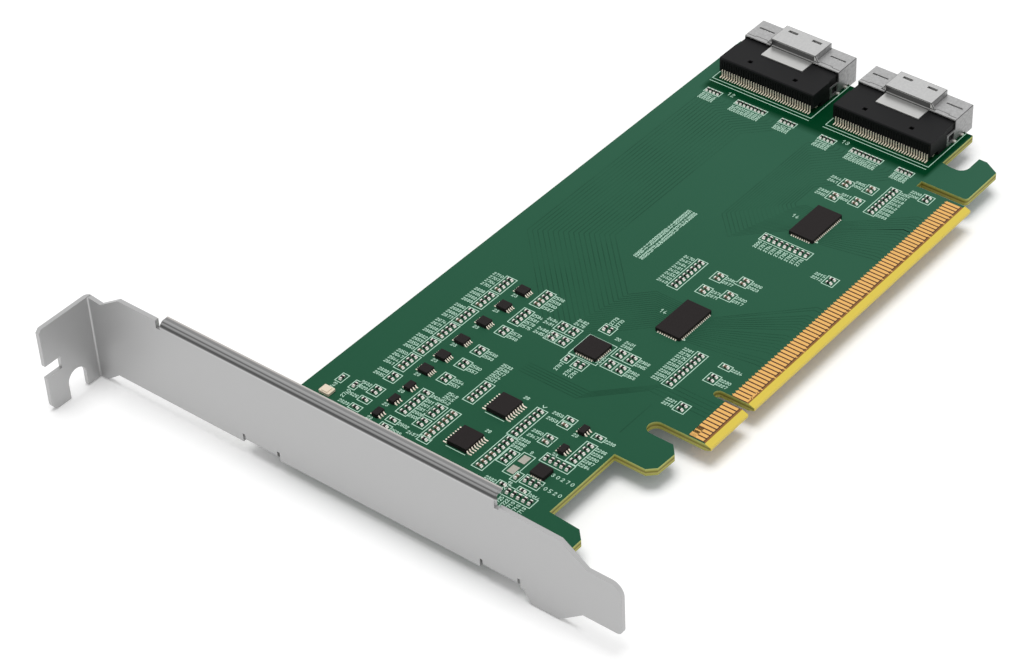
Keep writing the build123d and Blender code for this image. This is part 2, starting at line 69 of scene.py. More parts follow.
def linear(hex_colour):
    """sRGB hex colour as linear red, green, blue and alpha."""
    values = [int(hex_colour[i:i + 2], 16) / 255 for i in (1, 3, 5)]
    return [v / 12.92 if v < 0.04045 else ((v + 0.055) / 1.055) ** 2.4 for v in values] + [1]


def add_node(tree, kind, settings=(), links=(), stops=()):
    """Adds a node with its sockets and properties, its incoming links and a ramp's stops."""
    node = tree.nodes.new(kind)
    for name, value in dict(settings).items():
        if isinstance(name, int) or name in node.inputs:
            node.inputs[name].default_value = value
        else:
            setattr(node, name, value)
    for name, output in dict(links).items():
        tree.links.new(output, node.inputs[name])
    for n, (position, colour) in enumerate(stops[:1] + stops[-1:]):
        node.color_ramp.elements[n].position = position
        node.color_ramp.elements[n].color = linear(colour)
    for position, colour in stops[1:-1]:
        node.color_ramp.elements.new(position).color = linear(colour)
    return node


def new_material(name):
    """Empty material with its node tree."""
    material = bpy.data.materials.new(name)
    material.use_nodes = True
    material.node_tree.nodes.clear()
    return material, material.node_tree


def finish_material(tree, settings, links=()):
    """Closes a material with its surface and output."""
    shader = add_node(tree, "ShaderNodeBsdfPrincipled", settings, links)
    add_node(tree, "ShaderNodeOutputMaterial", links={"Surface": shader.outputs["BSDF"]})


def dress(node, slot, *materials):
    """Gives a CAD node its materials, the main one first; the slot argument is not used."""
    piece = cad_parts[node]
    piece.data.materials.clear()
    for material in materials:
        piece.data.materials.append(material)
    return piece


def copper_green(tree, place, along):
    """Colour of the mask over copper, which drifts along the board and in soft clouds."""
    # Its green shifts in soft clouds about 25 mm across, and grows lighter from the bracket end to
    # the far end.
    cloud = add_node(
        tree,
        "ShaderNodeTexNoise",
        {"Scale": 1 / (cloud_mm * mm), "Detail": 2.0},
        {"Vector": place.outputs["Object"]},
    )
    drift = add_node(
        tree, "ShaderNodeMath", {"operation": "MULTIPLY", 1: cloud_share}, {0: cloud.outputs["Fac"]}
    )
    lengthways = add_node(
        tree,
        "ShaderNodeMapRange",
        {"From Min": copper_near * mm, "From Max": copper_far * mm},
        {"Value": along.outputs["X"]},
    )
    deeper = add_node(
        tree,
        "ShaderNodeMath",
        {"operation": "SUBTRACT", 1: cloud_share / 2},
        {0: lengthways.outputs["Result"]},
    )
    tone = add_node(
        tree, "ShaderNodeMath", {"operation": "ADD"}, {0: deeper.outputs[0], 1: drift.outputs[0]}
    )
    greens = add_node(
        tree,
        "ShaderNodeValToRGB",
        links={"Fac": tone.outputs[0]},
        stops=[(0.0, "#23523B"), (1.0, "#325F4A")],
    )
    return greens.outputs["Color"]


# Cured mask is half matt, so the board is one soft green with no hard highlight.
# It deepens where there is no copper behind it, over a millimetre or two.
mask_green, tree = new_material("green_solder_mask")
place = add_node(tree, "ShaderNodeTexCoord")
along = add_node(tree, "ShaderNodeSeparateXYZ", links={"Vector": place.outputs["Object"]})
bare_sides = [
    add_node(
        tree,
        "ShaderNodeMapRange",
        {"From Min": start * mm, "From Max": end * mm},
        {"Value": along.outputs[axis]},
    ).outputs["Result"]
    for axis, start, end in bare_limits
]
bare = bare_sides[0]
for bare_side in bare_sides[1:]:
    both = add_node(tree, "ShaderNodeMath", {"operation": "MULTIPLY"}, {0: bare, 1: bare_side})
    bare = both.outputs[0]
green = add_node(
    tree,
    "ShaderNodeMix",
    {"data_type": "RGBA", over: linear("#00361C")},
    {"Factor": bare, under: copper_green(tree, place, along)},
)
finish_material(tree, mask_gloss, {"Base Color": green.outputs[mixed]})
# The routed edge shows the pressed layers as thin lines of straw, olive and brown.
laminate, tree = new_material("glass_laminate_edge")
place = add_node(tree, "ShaderNodeTexCoord")
layers = add_node(tree, "ShaderNodeSeparateXYZ", links={"Vector": place.outputs["Object"]})
depth = add_node(
    tree,
    "ShaderNodeMapRange",
    {"From Min": board_low.z, "From Max": board_high.z},
    {"Value": layers.outputs["Z"]},
)
layer_colours = add_node(
    tree,
    "ShaderNodeValToRGB",
    links={"Fac": depth.outputs["Result"]},
    stops=[
        (0.0, "#A3A548"),
        (0.35, "#B0A95A"),
        (0.5, "#6F6526"),
        (0.6, "#85822F"),
        (0.75, "#A9A852"),
        (1.0, "#BCC474"),
    ],
)
finish_material(
    tree,
    {"Roughness": 0.6, "IOR": 1.5, "Specular IOR Level": 0.3},
    {"Base Color": layer_colours.outputs["Color"]},
)
# Ground resin and glass scatter the light, so the bevel is a bright straw yellow.
ground, tree = new_material("ground_laminate_bevel")
finish_material(tree, {"Base Color": linear("#DAC34A"), "Roughness": 0.5, "IOR": 1.5})
board = dress("circuit_board", "board_green", mask_green, laminate, ground)
for face in board.data.polygons:
    if abs(face.normal.z) < 0.99:
        on_bevel = face.center.y < bevel_reach * mm and face.normal.y < -0.2
        face.material_index = bevel_index if on_bevel else laminate_index

# The tracks are etched copper under the mask, each bundle kept at an even distance.
# From the re-drivers one bundle turns at 45 degrees and runs straight to the receptacles.
# The other fans out at a slant, and goes straight only over the last stretch to the contacts.
top = board_high.z / mm
skin = 0.012
track_width = 0.18
track_count = 18
patch_mm = 9
pad_pitch = 0.5
first_pad = -4.25
upper_pads, lower_pads = 3.0, -3.2
upper_stub, lower_stub = 0.4, 0.5
fan_shift = 2.5
last_run = 1
tail_first, tail_step = 10.2, 1.2
last_x = 74.2
straight_from, contact_top = 6.8, 5.4


def show(name, points, faces, material):
    """Makes a mesh piece that rides on the card."""
    mesh = bpy.data.meshes.new(name)
    mesh.from_pydata(points, [], faces)
    mesh.materials.append(material)
    mesh.validate()
    piece = bpy.data.objects.new(name, mesh)
    bpy.context.scene.collection.objects.link(piece)
    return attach(piece, "root")


def add_route(points, faces, route, width, low, high):
    """Adds one flat ribbon along a route, mitred where it turns, in millimetres."""
    first = len(points)
    closed = route[0] == route[-1]
    stops = route[:-1] if closed else route
    count = len(stops)
    sharpest_mitre = 0.35
    for n, (x, y) in enumerate(stops):
        legs = []
        for a, b in ((n - 1, n), (n, n + 1)):
            if closed or (a >= 0 and b < count):
                dx = stops[b % count][0] - stops[a % count][0]
                dy = stops[b % count][1] - stops[a % count][1]
                run = hypot(dx, dy) or 1e-9
                legs.append((dx / run, dy / run))
        (ux, uy), (vx, vy) = legs[0], legs[-1]
        side_x, side_y = -(uy + vy), ux + vx
        stretch = max((side_x * -uy + side_y * ux), sharpest_mitre)
        side_x, side_y = side_x / stretch * width / 2, side_y / stretch * width / 2
        if not closed and n in (0, count - 1):
            reach = width / 2 if n else -width / 2
            x, y = x + ux * reach, y + uy * reach
        for z in (low, high):
            points.append(((x - side_x) * mm, (y - side_y) * mm, z * mm))
            points.append(((x + side_x) * mm, (y + side_y) * mm, z * mm))
    for n in range(count if closed else count - 1):
        a, b = first + 4 * n, first + 4 * ((n + 1) % count)
        faces.append((a + 2, b + 2, b + 3, a + 3))
        faces.append((b, a, a + 1, b + 1))
        faces.append((a, b, b + 2, a + 2))
        faces.append((b + 1, a + 1, a + 3, b + 3))
    if not closed:
        last = first + 4 * (count - 1)
        faces.append((first, first + 2, first + 3, first + 1))
        faces.append((last, last + 1, last + 3, last + 2))


def centre_of(node):
    """Middle of a CAD node in X and Y, in millimetres."""
    low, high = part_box(node)
    return (low.x + high.x) / 2 / mm, (low.y + high.y) / 2 / mm


# The same mask lies in shade on the flanks of a track, which are too fine to show.
# The whole track gets painted shade instead; it comes and goes over about 9 mm, as the light
# catches it.
track_painted_shade, tree = new_material("solder_mask_with_painted_track_shade")
place = add_node(tree, "ShaderNodeTexCoord")
along = add_node(tree, "ShaderNodeSeparateXYZ", links={"Vector": place.outputs["Object"]})
patches = add_node(
    tree,
    "ShaderNodeTexNoise",
    {"Scale": 1 / (patch_mm * mm), "Detail": 2.0},
    {"Vector": place.outputs["Object"]},
)
strength = add_node(
    tree,
    "ShaderNodeMapRange",
    {"From Min": 0.38, "From Max": 0.62, "To Min": 0.25, "To Max": 1.0},
    {"Value": patches.outputs["Fac"]},
)
shade = add_node(
    tree,
    "ShaderNodeMix",
    {"data_type": "RGBA", "blend_type": "MULTIPLY", over: linear("#DCDCDC")},
    {"Factor": strength.outputs["Result"], under: copper_green(tree, place, along)},
)
finish_material(tree, mask_gloss, {"Base Color": shade.outputs[mixed]})
routes = []
for chip_name, receptacle, out, out_step, rise, top_lane, lane_step in (
    ("redriver_a", "receptacle_a_tails", 14.0, 0.6, 0.35, 64.6, 0.85),
    ("redriver_b", "receptacle_b_tails", 8.2, 0.4, 0.1, 37.6, 0.55),
):
    x, y = centre_of(chip_name)
    goal_y = centre_of(receptacle)[1]
    for n in range(track_count):
        start_x, start_y = x + first_pad + pad_pitch * n, y + upper_pads
        rise_y = start_y + upper_stub + rise * n
        away = out - out_step * n
        lane = top_lane - lane_step * n
        climb = lane - rise_y - away
        goal = goal_y + tail_first - tail_step * n
        turn_x = start_x - away + climb
        route = [(start_x, start_y), (start_x, rise_y), (start_x - away, rise_y + away)]
        route += [(turn_x, lane), (last_x - last_run - abs(goal - lane), lane)]
        routes.append(route + [(last_x - last_run, goal), (last_x, goal)])
for chip_name, spread in (("redriver_a", 1.15), ("redriver_b", 0.95)):
    x, y = centre_of(chip_name)
    for n in range(track_count):
        start_x, start_y = x + first_pad + pad_pitch * n, y + lower_pads
        contact_x = round(x - fan_shift + spread * n) + 0.5
        fan = [(contact_x, straight_from), (contact_x, contact_top)]
        routes.append([(start_x, start_y), (start_x, start_y - lower_stub)] + fan)
# Five lines come down from the clock's side to the contacts, and one runs by itself.
clock_lines = 5
clock_top = 40
for n in range(clock_lines):
    start_x, turn_y, contact_x = -15.8 + 0.7 * n, 27 - 0.25 * n, -6.5 + n
    knee = (contact_x, turn_y - (contact_x - start_x))
    routes.append([(start_x, clock_top), (start_x, turn_y), knee, (contact_x, contact_top)])
routes.append([(-18.4, 15.1), (-9.4, 15.1)])
points, faces = [], []
for route in routes:
    add_route(points, faces, route, track_width, top, top + skin)
show("signal_tracks", points, faces, track_painted_shade)

# The edge contacts are copper fingers plated with nickel and hard gold.
# The laminate between and below them is left bare and looks brown.
# Some fingers are joined by their plating tails, and short stubs are left near the bevel.
tongue_low, tongue_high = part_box("edge_contacts_front")
low_y = tongue_low.y / mm
high_y = tongue_high.y / mm
finger_w = 0.7
finger_t = 0.05
flank_index = 1
bevel_top = 1.3
key_half = 0.95
tongue_halves = (
    (tongue_low.x / mm - 0.1, -key_half - 0.02),
    (key_half + 0.02, tongue_high.x / mm + 0.1),
)
scrape_height = 0.35
long_row = 71
key_to_finger = 0.55
joined_height = 1.3
bridge_height = 0.25
stub_half, stub_height, stub_step = 0.14, 0.35, 0.1
tail_half, tail_length = 0.1, 0.25


def add_box(points, faces, low, high):
    """Adds a closed box between two corners, in millimetres."""
    first = len(points)
    for z in (low[2], high[2]):
        for x, y in ((low[0], low[1]), (high[0], low[1]), (high[0], high[1]), (low[0], high[1])):
            points.append((x * mm, y * mm, z * mm))
    sides = ((3, 2, 1, 0), (4, 5, 6, 7), (0, 1, 5, 4), (1, 2, 6, 5), (2, 3, 7, 6), (3, 0, 4, 7))
    faces.extend(tuple(first + corner for corner in side) for side in sides)


# Hard gold has a warm satin face.
gold, tree = new_material("hard_gold_plating")
finish_material(tree, {"Base Color": linear("#EDB768"), "Metallic": 0.7, "Roughness": 0.35})
# The etched flanks are bare copper in their own shade, which draws a brown line at each finger.
etched, tree = new_material("etched_copper_flank")
finish_material(tree, {"Base Color": linear("#5A3412"), "Metallic": 0.5, "Roughness": 0.5})
for side in ("front", "back"):
    contacts = dress(f"edge_contacts_{side}", "contact_gold", gold, etched)
    for face in contacts.data.polygons:
        if abs(face.normal.z) < 0.5:
            face.material_index = flank_index
# Bare laminate has no mask to reflect, so it is matt brown; between the fingers it is painted
# deeper as painted shade.
laminate_brown_and_shade, tree = new_material("bare_laminate_and_painted_shade_between_contacts")
finish_material(tree, {"Base Color": linear("#42230A"), "Roughness": 0.6, "IOR": 1.5})
points, faces = [], []
for x0, x1 in tongue_halves:
    for z0, z1 in ((top, top + skin), (-top - skin, -top)):
        add_box(points, faces, (x0, bevel_top, z0), (x1, high_y, z1))
show("bare_tongue_panels", points, faces, laminate_brown_and_shade)
# The bevel cutter drags the plating thin, which leaves a dull brass line above the bevel.
scraped, tree = new_material("scraped_plating_above_bevel")
finish_material(tree, {"Base Color": linear("#8E5E26"), "Metallic": 0.4, "Roughness": 0.45})
points, faces = [], []
for x0, x1 in tongue_halves:
    scrape_low = (x0, bevel_top, top + skin)
    add_box(points, faces, scrape_low, (x1, bevel_top + scrape_height, top + 2 * skin))
show("scraped_plating", points, faces, scraped)
# The upper ends of the short row's first three fingers are one sheet. In the long row the first
# four are bridged below, others keep a stub there, and each has its plating tail above.
points, faces = [], []
joined_low = (tongue_low.x / mm, high_y - joined_height, top)
add_box(points, faces, joined_low, (tongue_low.x / mm + 2 + finger_w, high_y, top + finger_t))
for n in range(long_row):
    x = key_half + key_to_finger + n
    if n % 7 in (1, 3, 4):
        stub_low = (x - stub_half, low_y - (stub_height + stub_step * (n % 3)), top)
        add_box(points, faces, stub_low, (x + stub_half, low_y, top + finger_t))
    if n < 3:
        bridge_low = (x - finger_w / 2, low_y - bridge_height, top)
        add_box(points, faces, bridge_low, (x + 1 - finger_w / 2, low_y, top + finger_t))
    tail_low = (x - tail_half, high_y, top)
    add_box(points, faces, tail_low, (x + tail_half, high_y + tail_length, top + skin))
show("contact_plating_tails", points, faces, gold)

# The chip resistors and capacitors are ceramic blocks with a tinned cap at each end.
# Solder climbs the caps in a small fillet, which is what shines on the board.
# The pads of one place that was left empty are tinned too.
usual_cap, usual_fillet = 0.24, 0.2
small_cap, small_fillet = 0.17, 0.1
cap_proud = 0.015
fillet_wider = 0.06
fillet_climb = 0.7


def loose_boxes(node):
    """Lowest and highest corner, in millimetres, of each separate solid in a CAD node."""
    shape = bmesh.new()
    shape.from_mesh(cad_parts[node].data)
    bmesh.ops.remove_doubles(shape, verts=shape.verts, dist=1e-6)
    boxes, seen = [], set()
    for start in shape.verts:
        if start in seen:
            continue
        group, edge_of_group = [], [start]
        seen.add(start)
        while edge_of_group:
            vertex = edge_of_group.pop()
            group.append(vertex.co / mm)
            for edge in vertex.link_edges:
                other = edge.other_vert(vertex)
                if other not in seen:
                    seen.add(other)
                    edge_of_group.append(other)
        low = tuple(min(p[i] for p in group) for i in range(3))
        high = tuple(max(p[i] for p in group) for i in range(3))
        boxes.append((low, high))
    shape.free()
    return boxes


def add_ends(points, faces, low, high, cap, fillet):
    """Adds the tinned caps and solder fillets at both ends of a chip's long axis."""
    long_axis = 0 if high[0] - low[0] > high[1] - low[1] else 1
    across = 1 - long_axis
    height = (high[2] - low[2]) * fillet_climb
    for side in (-1, 1):
        tip = (high if side > 0 else low)[long_axis]
        a, b = sorted((tip - side * cap, tip + side * cap_proud))
        box_low, box_high = [0, 0, low[2]], [0, 0, high[2] + cap_proud]
        box_low[long_axis], box_high[long_axis] = a, b
        box_low[across], box_high[across] = low[across] - cap_proud, high[across] + cap_proud
        add_box(points, faces, box_low, box_high)
        base = tip + side * cap_proud
        first = len(points)
        for edge in (low[across] - fillet_wider, high[across] + fillet_wider):
            for out, up in ((base, 0), (base + side * fillet, 0), (base, height)):
                corner = [0, 0, (low[2] + up) * mm]
                corner[long_axis], corner[across] = out * mm, edge * mm
                points.append(tuple(corner))
        wedge = ((0, 1, 2), (5, 4, 3), (0, 3, 4, 1), (1, 4, 5, 2), (2, 5, 3, 0))
        turned = (side > 0) == (long_axis == 0)
        for face in wedge:
            corners = tuple(first + n for n in face)
            faces.append(corners[::-1] if turned else corners)


# Reflowed solder is bright; its glint is painted into a near-white colour, so it looks nearly white
# from every side.
tin, tree = new_material("reflowed_solder_painted_glint")
finish_material(tree, {"Base Color": linear("#ECEAE2"), "Metallic": 0.4, "Roughness": 0.25})
# The glaze over a resistor's film is near black, with a faint gloss.
resistor_glaze, tree = new_material("resistor_glaze")
finish_material(
    tree,
    {"Base Color": linear("#1C1614"), "Roughness": 0.4, "IOR": 1.5, "Specular IOR Level": 0.2},
)
# Fired capacitor ceramic is tan and matt.
tan_ceramic, tree = new_material("capacitor_ceramic")
finish_material(
    tree,
    {"Base Color": linear("#6E5A48"), "Roughness": 0.55, "IOR": 1.6, "Specular IOR Level": 0.2},
)
chips = {}
for node in (
    "shifter_resistors",
    "shifter_capacitors",
    "logic_resistors",
    "logic_capacitors",
    "clock_resistors",
    "redriver_resistors",
    "redriver_capacitors",
    "receptacle_resistors",
):
    if node.endswith("capacitors"):
        dress(node, "capacitor_tan", tan_ceramic)
    else:
        dress(node, "resistor_black", resistor_glaze)
    chips[node] = loose_boxes(node)
    small = node == "receptacle_resistors"
    cap, fillet = (small_cap, small_fillet) if small else (usual_cap, usual_fillet)
    points, faces = [], []
    for low, high in chips[node]:
        add_ends(points, faces, low, high, cap, fillet)
    show(f"{node}_solder", points, faces, tin)
# Pads that were tinned and never soldered stay a dull pale grey.
dull_tin, tree = new_material("dull_tinned_pad")
finish_material(tree, {"Base Color": linear("#B1AFA4"), "Metallic": 0.6, "Roughness": 0.5})
dress("bare_pads", "tinned_lead", dull_tin)

# The packages are black moulded epoxy, slightly brown, with a matt face.
# The small ones stand on bent leads, and the leadless ones on pads at their lower edge.
# A little solder shows as a land round each leadless one.
grit_mm = 0.12
grit_depth = 0.02
package_edge = 0.1
land_reach = 0.3
land_t = 0.05
land_gap = 0.02
edge_zone = 0.8


def soften(piece, width_mm, segments=2, edge_material=-1):
    """Rounds the sharp edges of a piece a little, as tumbling or moulding does."""
    piece.modifiers.new("joined_faces", "WELD").merge_threshold = 0.001 * mm
    bevel = piece.modifiers.new("edge_break", "BEVEL")
    bevel.width = width_mm * mm
    bevel.segments = segments
    bevel.limit_method = "ANGLE"
    bevel.angle_limit = radians(50)
    bevel.material = edge_material


# The filler in the resin gives a matt grainy face that breaks up every highlight.
# The real grit is a few hundredths of a millimetre and too fine to show, so it is drawn coarser.
epoxy, tree = new_material("moulded_epoxy")
place = add_node(tree, "ShaderNodeTexCoord")
grit = add_node(
    tree,
    "ShaderNodeTexNoise",
    {"Scale": 1 / (grit_mm * mm), "Detail": 2.0},
    {"Vector": place.outputs["Object"]},
)
rough = add_node(
    tree,
    "ShaderNodeBump",
    {"Strength": 0.15, "Distance": grit_depth * mm},
    {"Height": grit.outputs["Fac"]},
)
finish_material(
    tree,
    {"Base Color": linear("#211D1D"), "Roughness": 0.6, "IOR": 1.5, "Specular IOR Level": 0.12},
    {"Normal": rough.outputs["Normal"]},
)
leadless = ("redriver_a", "redriver_b", "clock_chip", "regulator")
for node in leadless + ("logic_chip_a", "logic_chip_b", "level_shifters", "switch_chips"):
    soften(dress(node, "package_black", epoxy), package_edge)
# Tin on copper is bright, with a little of the copper's warmth.
lead_tin, tree = new_material("tinned_copper_lead")
finish_material(tree, {"Base Color": linear("#FFF4E2"), "Metallic": 0.4, "Roughness": 0.25})
for node in ("logic_chip_a", "logic_chip_b", "level_shifter", "switch_chip"):
    dress(f"{node}_leads", "tinned_lead", lead_tin)
for chip_name in leadless:
    dress(f"{chip_name}_terminals", "tinned_lead", lead_tin)
    low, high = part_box(chip_name)
    edges = (low.x / mm, high.x / mm, low.y / mm, high.y / mm)
    points, faces = [], []
    for pad_low, pad_high in loose_boxes(f"{chip_name}_terminals"):
        x, y = (pad_low[0] + pad_high[0]) / 2, (pad_low[1] + pad_high[1]) / 2
        gaps = [abs(x - edges[0]), abs(x - edges[1]), abs(y - edges[2]), abs(y - edges[3])]
        side = gaps.index(min(gaps))
        if gaps[side] < edge_zone:
            box_low = [pad_low[0], pad_low[1], top]
            box_high = [pad_high[0], pad_high[1], top + land_t]
            if side % 2:
                box_low[side // 2] = edges[side] + land_gap
                box_high[side // 2] = edges[side] + land_reach
            else:
                box_low[side // 2] = edges[side] - land_reach
                box_high[side // 2] = edges[side] - land_gap
            add_box(points, faces, box_low, box_high)
    show(f"{chip_name}_solder_lands", points, faces, tin)

# The status lamp is a small leadless body of cast resin with a raised lens.
# It is soldered down by pads underneath, near the corner of the board.
lamp_edge = 0.3
# Clear resin over a pale reflector looks cream and glossy.
cream, tree = new_material("lamp_resin")
finish_material(tree, {"Base Color": linear("#E6D6C0"), "Roughness": 0.3, "IOR": 1.5})
soften(dress("status_led", "led_cream", cream), lamp_edge, 3)

# Each receptacle has a black moulded housing, grooved for its row of tails.
# The shell is stamped sheet steel with a matt tin finish, folded round the housing's front.
# Its hump holds the latch, and its feet are soldered into the board.
smear_mm = 0.5
seam_mm = 0.13
housing_edge = 0.06
seam_index, cut_index, lit_roof_index, shaded_side_index = 1, 2, 3, 4
hump_length = 6.1
hump_height = 1.25
latch_zone = 1.8
roof_zone = 0.1
sheet_t = 0.3
latch_half = 5.15
spring_back, spring_front = 0.1, 0.3
lip_half, lip_height = 0.1, 0.12
shade_half, shade_from, shade_to, shade_t = 5.0, 0.4, 0.1, 0.01
hook_from_mouth = 1.7
hook_from_centre = 2.75
hook_half_x, hook_half_y = 1.2, 1.6
hook_low, hook_high = 0.35, 0.25
line_width = 0.14
line_reaches = (6.5, 9.4, 11.2)
line_inner, line_outer = 0.55, 0.25
foot_from_centre = 11.75
foot_from_mouth = (6.9, 4.1)
foot_half, foot_out, foot_in, foot_height = 0.3, 0.25, 0.2, 0.3
# Glass-filled plastic is black with a faint sheen.
housing_black, tree = new_material("glass_filled_plastic")
finish_material(
    tree,
    {"Base Color": linear("#151516"), "Roughness": 0.5, "IOR": 1.53, "Specular IOR Level": 0.12},
)
# The hump's roof is painted lightest, the wings middle, and the upright sides darkest as painted
# shade.
# Matt tin is a soft cloudy grey, drawn in three copies with painted light and shade.
# Its real crystals are far too fine to show, so they are drawn as half-millimetre smears.
shell_tin_lit_and_shaded = {}
for part_of_shell, dark, light in (
    ("wing", "#A8A8A8", "#B7B7B7"),
    ("hump", "#BFBFBF", "#C8C8C7"),
    ("side", "#8C8C8C", "#A6A6A6"),
):
    shell_tin_lit_and_shaded[part_of_shell], tree = new_material(f"matt_tinned_shell_painted_light_{part_of_shell}")
    place = add_node(tree, "ShaderNodeTexCoord")
    smear = add_node(
        tree,
        "ShaderNodeTexNoise",
        {"Scale": 1 / (smear_mm * mm), "Detail": 3.0},
        {"Vector": place.outputs["Object"]},
    )
    greys = add_node(
        tree,
        "ShaderNodeValToRGB",
        links={"Fac": smear.outputs["Fac"]},
        stops=[(0.32, dark), (0.68, light)],
    )
    finish_material(
        tree, {"Metallic": 0.75, "Roughness": 0.38}, {"Base Color": greys.outputs["Color"]}
    )
# The latch plate is a brushed strip, smoother and paler than the shell.
plate_tin, tree = new_material("brushed_latch_plate")
finish_material(tree, {"Base Color": linear("#C6C6C4"), "Metallic": 0.75, "Roughness": 0.3})
# A folded seam lies in its own shade and reads as a dark grey line.
seam, tree = new_material("shaded_shell_seam")
finish_material(tree, {"Base Color": linear("#5E5E5E"), "Metallic": 0.75, "Roughness": 0.4})
# The sheet is cut after plating, so its edge is bare and bright.
cut_edge, tree = new_material("bright_cut_edge")
finish_material(tree, {"Base Color": linear("#E4E4E2"), "Metallic": 0.6, "Roughness": 0.3})
# The tails are dipped in tin, which rounds and whitens them.
tail_tin, tree = new_material("tinned_signal_tail")
finish_material(tree, {"Base Color": linear("#FFF4E0"), "Metallic": 0.2, "Roughness": 0.25})
# The spring sits deep under the hump, and is painted a middle grey as painted shade.
spring_painted_shade, tree = new_material("shaded_latch_spring")
finish_material(tree, {"Base Color": linear("#5A5A5A"), "Metallic": 0.6, "Roughness": 0.4})
for name in ("receptacle_a", "receptacle_b"):
    soften(dress(f"{name}_housing", "housing_black", housing_black), housing_edge, 1)
    dress(f"{name}_latch_plate", "shell_steel", plate_tin)
    dress(f"{name}_tails", "tinned_lead", tail_tin)
    dress(f"{name}_inner_tails", "tinned_lead", lead_tin)
    wing, hump, side = (shell_tin_lit_and_shaded[part] for part in ("wing", "hump", "side"))
    shell = dress(f"{name}_shell", "shell_steel", wing, seam, cut_edge, hump, side)
    shell_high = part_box(f"{name}_shell")[1]
    # The roof faces take the hump's painted light, and the upright faces the painted shade.
    for face in shell.data.polygons:
        below_roof = shell_high.z - face.center.z
        if face.normal.x < -0.9 and below_roof < latch_zone * mm:
            face.material_index = cut_index
        elif face.normal.z > 0.9 and below_roof < roof_zone * mm:
            face.material_index = lit_roof_index
        elif face.normal.z < 0.9:
            face.material_index = shaded_side_index
    soften(shell, seam_mm, edge_material=seam_index)
    centre_y = centre_of(f"{name}_shell")[1]
    latch_low, latch_high = centre_y - latch_half, centre_y + latch_half
    mouth_x = shell_high.x / mm
    hump_x = mouth_x - hump_length
    roof_z = shell_high.z / mm - sheet_t
    plate_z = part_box(f"{name}_latch_plate")[1].z / mm
    points, faces = [], []
    spring_low = (hump_x + spring_back, latch_low, plate_z)
    add_box(points, faces, spring_low, (hump_x + spring_front, latch_high, roof_z))
    # A thin strip of painted shadow lies on the plate just before the hump.
    shade_low = (hump_x - shade_from, centre_y - shade_half, plate_z)
    shade_high = (hump_x - shade_to, centre_y + shade_half, plate_z + shade_t)
    add_box(points, faces, shade_low, shade_high)
    show(f"{name}_latch_spring", points, faces, spring_painted_shade)
    points, faces = [], []
    lip_low = (hump_x - lip_half, latch_low, plate_z)
    add_box(points, faces, lip_low, (hump_x + lip_half, latch_high, plate_z + lip_height))
    show(f"{name}_latch_lip", points, faces, cut_edge)
    points, faces = [], []
    hook_x = mouth_x - hook_from_mouth
    for side_sign in (-1, 1):
        hook_y = centre_y + side_sign * hook_from_centre
        corner_low = (hook_x - hook_half_x, hook_y - hook_half_y, roof_z - hook_low)
        corner_high = (hook_x + hook_half_x, hook_y + hook_half_y, roof_z - hook_high)
        add_box(points, faces, corner_low, corner_high)
    show(f"{name}_latch_hooks", points, faces, plate_tin)
    points, faces = [], []
    # A thin line of painted shade marks the step where the shell's sheet overlaps itself.
    wing_z = shell_high.z / mm - hump_height
    x0, x1 = hump_x + line_inner, hump_x + line_outer
    for side_sign in (-1, 1):
        y0, y1, y2 = (centre_y + side_sign * reach for reach in line_reaches)
        jog = [(x0, y0), (x0, y1), (x1, y1), (x1, y2)]
        add_route(points, faces, jog, line_width, wing_z, wing_z + shade_t)
    show(f"{name}_overlap_shade_line", points, faces, seam)
    points, faces = [], []
    wall_y = centre_y - foot_from_centre
    for from_mouth in foot_from_mouth:
        x = mouth_x - from_mouth
        foot_low = (x - foot_half, wall_y - foot_out, top)
        add_box(points, faces, foot_low, (x + foot_half, wall_y + foot_in, top + foot_height))
    show(f"{name}_anchor_solder", points, faces, tin)

# The legend is screen-printed epoxy ink: boxes round the chips and plain place numbers.
# Its strokes are drawn a little wider than printed, so that they show at this distance.
ink_low = top + skin
ink_high = ink_low + 0.012
ink_width = 0.16
digit_width = 0.12
digit_step, digit_spread = 0.82, 1.15
digit_paths = {
    "0": "10 21 23 14 03 01 10",
    "1": "03 14 10",
    "2": "03 14 23 00 20",
    "3": "03 14 23 12 21 10 01",
    "4": "10 14 01 21",
    "5": "24 04 02 12 21 10 00",
    "6": "23 14 03 01 10 21 12 02",
    "7": "04 24 10",
    "8": "12 03 14 23 12 01 10 21 12",
    "9": "01 10 21 23 14 03 12 22",
}
legend_points, legend_faces = [], []
# Rows whose numbers don't stand on the usual side, by the middle of the row in X and Y.
label_sides = {
    "-Y": [(x, 49.2) for x in (2.6, -3.8, -8.9, -15.8, -20.4, -25.3, -30.4, -34.3, -39.5, -41.6)]
    + [(64.5, 14.9), (27.0, 26.7), (28.5, 21.9), (22.3, 26.6), (23.5, 21.9), (2.7, 10.5)]
    + [(6.7, 10.4), (-1.6, 25.3), (-5.0, 25.3), (-26.9, 17.1), (-21.9, 17.2), (-40.5, 19.3)],
    "+X": [(-24.8, 41.9), (-33.2, 44.8), (-35.1, 26.9), (-1.6, 38.6), (-1.6, 27.9), (2.7, 34.0)],
    "": [(-26.1, 29.8), (-35.6, 29.5), (-36.1, 41.8), (-37.0, 44.8), (-31.4, 18.9), (-37.9, 20.2)],
}


def ink_route(route, width=ink_width):
    """Prints a line along a route."""
    add_route(legend_points, legend_faces, route, width, ink_low, ink_high)


def ink_box(x0, y0, x1, y1):
    """Prints a rectangle."""
    ink_route([(x0, y0), (x1, y0), (x1, y1), (x0, y1), (x0, y0)])


def ink_number(text, x, y, along, height=0.72):
    """Prints digits from a starting corner along +X, or along -Y as read from the bracket end."""
    step = height * digit_step
    unit = height / 4
    for place_in_text, digit in enumerate(text):
        # Each pair of figures in a digit's path is a step across and a step up.
        path = []
        for spot in digit_paths[digit].split():
            u = place_in_text * step + int(spot[0]) * unit * digit_spread
            v = int(spot[1]) * unit
            path.append((x + u, y + v) if along == "+X" else (x + v, y - u))
        ink_route(path, digit_width)


